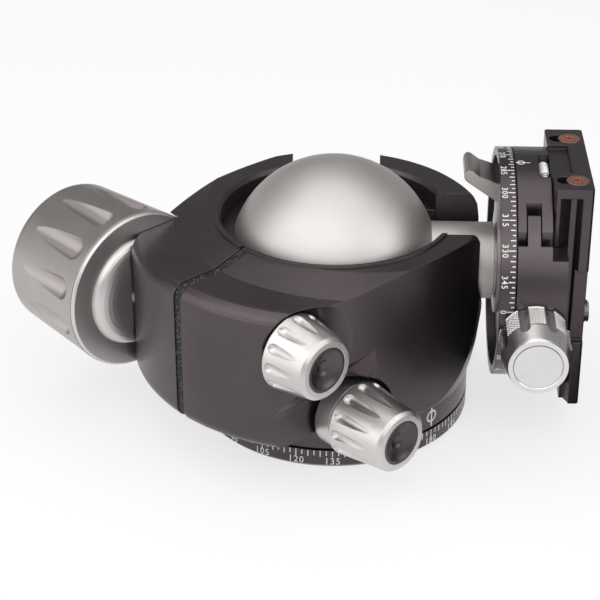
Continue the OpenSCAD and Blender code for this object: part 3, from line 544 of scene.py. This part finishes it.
knob_profile = [(0, 0), (BACK_RING_R, 0), (KNOB_R - KNOB_EDGE, 0), (KNOB_R, KNOB_EDGE)]
knob_profile += [(KNOB_R, KNOB_EDGE + KNURL_ROW * i) for i in range(1, KNURL_ROWS + 1)]
knob_profile += [(KNOB_R - NOSE_IN * i / NOSE_STEPS, NOSE_START + (NOSE_END - NOSE_START) * i / NOSE_STEPS)
                 for i in range(NOSE_STEPS + 1)]
knob_profile += FACE_EDGE
knob_profile += [(CAP_R + SEAT_BEVEL, KNOB_LEN), (CAP_R, KNOB_LEN - SEAT_BEVEL), (CAP_R, CAP_SEAT),
                 (0, CAP_SEAT)]
piece("jaw_knob_knurled", turned(knob_profile, KNOB_SIDES, knob_place, knob_radius), "jaw_control", knurled,
      replaced="jaw_knob", smooth=25)

# Its cap, slightly dished, with a fine raised rim. Each point is [in from the rim, down from the face]
CAP_SIDES = 96
CAP_FACE = [(CAP_R, 0.45), (0.15, 0.45), (0.1, 0.05), (0.35, 0), (0.6, 0.04), (3.1, 0.12), (CAP_R, 0.15)]
cap_profile = [(CAP_R - inward, KNOB_LEN - down) for inward, down in CAP_FACE]
piece("jaw_knob_spun_cap", turned(cap_profile, CAP_SIDES, knob_place), "jaw_control",
      spun_face(KNOB_X, KNOB_Z), replaced="jaw_knob_cap", smooth=30)

# Camera screw: its CAD head and neck, with a real thread on the tip
SCREW_Z = pivot("camera_screw_turn")[2]
SCREW_TIP_X = cad("camera_screw")[1][0]
PLATE_END_X = cad("qr_plate")[1][0]
THREAD_START_X = PLATE_END_X - 0.6
THREAD_PITCH = 1.27
THREAD_ROOT = 2.6
THREAD_CREST = 3.175
THREAD_SIDES = 72
ROWS_PER_PITCH = 24
CREST_OVERSHOOT = 1.15
TIP_BEVEL = 0.5
TIP_SLOPE = 0.9


def thread_radius(x, turn):
    """Radius at x and at a share of a turn: a V thread with its overshoot cut flat, bevelled at the tip."""
    wave = abs((x / THREAD_PITCH - turn) % 1 - 0.5) * 2
    crest = THREAD_ROOT + (THREAD_CREST - THREAD_ROOT) * min(1, wave * CREST_OVERSHOOT)
    return min(crest, THREAD_CREST - max(0, x - (SCREW_TIP_X - TIP_BEVEL)) * TIP_SLOPE)


def threaded_screw():
    bm = bmesh.new()
    bm.from_mesh(nodes["camera_screw"].data)
    bmesh.ops.bisect_plane(bm, geom=bm.verts[:] + bm.edges[:] + bm.faces[:],
                           plane_co=mm(THREAD_START_X, 0, 0), plane_no=(1, 0, 0), clear_outer=True)
    bmesh.ops.holes_fill(bm, edges=[e for e in bm.edges if e.is_boundary])
    count = int((SCREW_TIP_X - THREAD_START_X) / THREAD_PITCH * ROWS_PER_PITCH)
    rows = []
    for k in range(count + 1):
        x = THREAD_START_X + (SCREW_TIP_X - THREAD_START_X) * k / count
        row = []
        for i in range(THREAD_SIDES):
            turn = i / THREAD_SIDES
            angle = 2 * math.pi * turn
            r = thread_radius(x, turn)
            row.append(bm.verts.new(mm(x, r * math.cos(angle), SCREW_Z + r * math.sin(angle))))
        rows.append(row)
    for lower, upper in zip(rows, rows[1:]):
        for i in range(THREAD_SIDES):
            j = (i + 1) % THREAD_SIDES
            bm.faces.new((lower[i], lower[j], upper[j], upper[i]))
    bm.faces.new(rows[-1])
    bm.faces.new(rows[0][::-1])
    return bm


piece("camera_screw_threaded", threaded_screw(), "mount_screw", steel,
      replaced="camera_screw", smooth=28)

# Ribbed pad: low nubs on a sunk sheet, which has a hole for the screw
PAD_LOW, PAD_HIGH = cad("plate_pad")
PAD_HALF_Y = PAD_HIGH[1]
PAD_Z = (PAD_LOW[2], PAD_HIGH[2])
PAD_TOP_X = PAD_HIGH[0]
# Corner n comes after side n. The sides face +Y, up, -Y and down
PAD_CORNERS = [(PAD_HALF_Y, PAD_Z[1]), (-PAD_HALF_Y, PAD_Z[1]),
               (-PAD_HALF_Y, PAD_Z[0]), (PAD_HALF_Y, PAD_Z[0])]
NUB_PITCH = 1.45
NUB_HALF = 0.5
NUB_H = 0.45
NUB_TAPER = 0.12
NUB_SINK = 0.05
NUB_CLEARANCE = NUB_HALF * 1.5
SHEET_SINK = 1.1
SHEET_X = (PLATE_END_X - SHEET_SINK, PAD_TOP_X - NUB_H)
HOLE_R = 4.2
HOLE_SIDES = 48
TINY = 1e-6


def to_pad_edge(y, z):
    """Where the ray from the hole's centre through (y, z) meets the pad's edge, and which side that is."""
    dz = z - SCREW_Z
    across = PAD_HALF_Y / abs(y) if abs(y) > TINY else math.inf
    along = ((PAD_Z[1] if dz > 0 else PAD_Z[0]) - SCREW_Z) / dz if abs(dz) > TINY else math.inf
    reach = min(across, along)
    if across < along:
        side = 0 if y > 0 else 2
    else:
        side = 1 if dz > 0 else 3
    return (y * reach, SCREW_Z + dz * reach), side


def add_sheet(bm):
    """The sheet: a slab round the hole, whose outer loop runs along the pad's edge."""
    turns = [2 * math.pi * i / HOLE_SIDES for i in range(HOLE_SIDES)]
    hole = [(HOLE_R * math.cos(a), SCREW_Z + HOLE_R * math.sin(a)) for a in turns]
    edge, sides = zip(*(to_pad_edge(y, z) for y, z in hole))
    loops = (hole, edge, PAD_CORNERS)
    levels = [[[bm.verts.new(mm(x, *p)) for p in loop] for loop in loops] for x in SHEET_X]
    for i in range(HOLE_SIDES):
        j = (i + 1) % HOLE_SIDES
        rims = []
        for inner, outer, corners in levels:
            between = [] if sides[i] == sides[j] else [corners[sides[i]]]
            rims.append([outer[i], *between, outer[j]])
        (low_hole, _, _), (high_hole, _, _) = levels
        bm.faces.new([low_hole[i], *rims[0], low_hole[j]][::-1])
        bm.faces.new([high_hole[i], *rims[1], high_hole[j]])
        bm.faces.new((low_hole[j], low_hole[i], high_hole[i], high_hole[j]))
        for k in range(len(rims[0]) - 1):
            bm.faces.new((rims[0][k], rims[0][k + 1], rims[1][k + 1], rims[1][k]))


def add_nub(bm, y, z):
    points = []
    for x, half in ((SHEET_X[1] - NUB_SINK, NUB_HALF), (PAD_TOP_X, NUB_HALF - NUB_TAPER)):
        points += [(x, y - half, z - half), (x, y + half, z - half), (x, y + half, z + half),
                   (x, y - half, z + half)]
    add_solid(bm, points, BOX_FACES)


def ribbed_pad():
    bm = bmesh.new()
    add_sheet(bm)
    columns = int(2 * PAD_HALF_Y / NUB_PITCH)
    rows = int((PAD_Z[1] - PAD_Z[0]) / NUB_PITCH)
    for i in range(columns):
        for j in range(rows):
            y = (i - (columns - 1) / 2) * NUB_PITCH
            z = (PAD_Z[0] + PAD_Z[1]) / 2 + (j - (rows - 1) / 2) * NUB_PITCH
            if math.hypot(y, z - SCREW_Z) > HOLE_R + NUB_CLEARANCE:
                add_nub(bm, y, z)
    return bm


piece("plate_pad_ribbed", ribbed_pad(), "plate", pad_rubber, replaced="plate_pad")

# Level vial: a tube along Y with a narrower neck towards -Y, and two ink lines on the neck
VIAL_LOW, VIAL_HIGH = cad("level_vial")
VIAL_X = (VIAL_LOW[0] + VIAL_HIGH[0]) / 2
VIAL_Z = round((VIAL_LOW[2] + VIAL_HIGH[2]) / 2, 3)
VIAL_R = (VIAL_HIGH[0] - VIAL_LOW[0]) / 2
VIAL_START, VIAL_END = VIAL_LOW[1], VIAL_HIGH[1]
VIAL_ROUND = 0.15
VIAL_SIDES = 48
VIAL_END_BEVEL = (0.35, 0.4)
NECK_R = 0.95
NECK_LEN = 3.2
SHOULDER_LEN = 0.4
SHOULDER_IN = 0.1
LINE_PLACES = (0.9, 2.1)
LINE_HALF = 0.16
LINE_R = (0.9, 0.98)


def vial_place(x, z, y):
    return mm(VIAL_X + x, y, VIAL_Z + z)


neck_end = VIAL_START + NECK_LEN
vial_profile = [(0, VIAL_START), (NECK_R - VIAL_ROUND, VIAL_START), (NECK_R, VIAL_START + VIAL_ROUND),
                (NECK_R, neck_end), (VIAL_R - SHOULDER_IN, neck_end + SHOULDER_LEN / 2),
                (VIAL_R, neck_end + SHOULDER_LEN), (VIAL_R, VIAL_END - VIAL_END_BEVEL[1]),
                (VIAL_R - VIAL_END_BEVEL[0], VIAL_END), (0, VIAL_END)]
piece("level_vial_tube", turned(vial_profile, VIAL_SIDES, vial_place), "clamp", glass,
      replaced="level_vial", smooth=40)
for i, place in enumerate(LINE_PLACES):
    low = VIAL_START + place - LINE_HALF
    high = VIAL_START + place + LINE_HALF
    band = [(LINE_R[0], low), (LINE_R[1], low), (LINE_R[1], high), (LINE_R[0], high), (LINE_R[0], low)]
    piece("vial_line_%d" % (i + 1), turned(band, VIAL_SIDES, vial_place), "clamp", ink)


# Studio. Places and sizes are in metres, and powers in watts
TARGET = (0, 0, 0.04)
WHITE = (1, 1, 1, 1)
FLOOR_SIZE = 4
FLOOR_WHITE_SHARE = 0.7


def aim(o, place, target):
    o.location = place
    o.rotation_euler = (Vector(target) - Vector(place)).to_track_quat("-Z", "Y").to_euler()


def softbox(name, place, width, height, power):
    data = bpy.data.lights.new(name, "AREA")
    data.shape = "RECTANGLE"
    data.size = width
    data.size_y = height
    data.energy = power
    o = bpy.data.objects.new(name, data)
    scene.collection.objects.link(o)
    aim(o, place, TARGET)


def reflected_card(name, place, target, width, height, shade):
    """A panel that only reflections see."""
    mesh = bpy.data.meshes.new(name)
    w = width / 2
    h = height / 2
    mesh.from_pydata([(-w, -h, 0), (w, -h, 0), (w, h, 0), (-w, h, 0)], [], [(0, 1, 2, 3)])
    o = bpy.data.objects.new(name, mesh)
    scene.collection.objects.link(o)
    aim(o, place, target)
    material, _, bsdf = new_material(name)
    bsdf.inputs["Base Color"].default_value = (shade, shade, shade, 1)
    bsdf.inputs["Roughness"].default_value = 1.0
    mesh.materials.append(material)
    o.visible_camera = False
    o.visible_shadow = False
    o.visible_diffuse = False


def studio_world():
    """An even grey that lights the object, and white where the camera sees past it."""
    world = bpy.data.worlds.new("studio")
    scene.world = world
    world.use_nodes = True
    nt = world.node_tree
    nt.nodes.clear()
    out = node(nt, "ShaderNodeOutputWorld")
    grey = node(nt, "ShaderNodeBackground", Color=(0.5, 0.5, 0.5, 1), Strength=0.55)
    white = node(nt, "ShaderNodeBackground", Color=WHITE, Strength=1.0)
    path = node(nt, "ShaderNodeLightPath")
    join = node(nt, "ShaderNodeMixShader")
    nt.links.new(path.outputs["Is Camera Ray"], join.inputs[0])
    nt.links.new(grey.outputs[0], join.inputs[1])
    nt.links.new(white.outputs[0], join.inputs[2])
    nt.links.new(join.outputs[0], out.inputs["Surface"])


def studio_floor():
    """A pale floor that keeps a light shadow: where it is seen or reflected, most of it is plain white."""
    bpy.ops.mesh.primitive_plane_add(size=FLOOR_SIZE, location=(0, 0, 0))
    floor = bpy.context.object
    floor.name = "floor"
    material, nt, bsdf = new_material("floor")
    bsdf.inputs["Base Color"].default_value = (0.88, 0.88, 0.88, 1)
    bsdf.inputs["Roughness"].default_value = 0.9
    white = node(nt, "ShaderNodeEmission", Color=WHITE)
    path = node(nt, "ShaderNodeLightPath")
    mirrored = maths(nt, "MAXIMUM", path.outputs["Is Glossy Ray"], path.outputs["Is Transmission Ray"])
    seen = maths(nt, "MAXIMUM", path.outputs["Is Camera Ray"], mirrored)
    join = node(nt, "ShaderNodeMixShader")
    nt.links.new(maths(nt, "MULTIPLY", seen, FLOOR_WHITE_SHARE), join.inputs[0])
    nt.links.new(bsdf.outputs["BSDF"], join.inputs[1])
    nt.links.new(white.outputs["Emission"], join.inputs[2])
    out = next(n for n in nt.nodes if n.type == "OUTPUT_MATERIAL")
    nt.links.new(join.outputs[0], out.inputs["Surface"])
    floor.data.materials.append(material)


studio_world()
studio_floor()
softbox("top", (-0.05, -0.1, 0.9), 1.3, 1.3, 6.5)
softbox("left", (-0.85, -0.5, 0.5), 1.4, 1.1, 6.5)
softbox("front", (0.1, -1.1, 0.75), 1.1, 0.8, 4.0)
softbox("right", (0.85, -0.35, 0.55), 0.8, 0.6, 3.2)
# Black on the floor behind the right flank, as that flank is nearly black in the photograph
reflected_card("floor_flag", (0.34, 0.16, 0.0012), (0.34, 0.16, 1.0), 0.56, 0.46, 0.004)
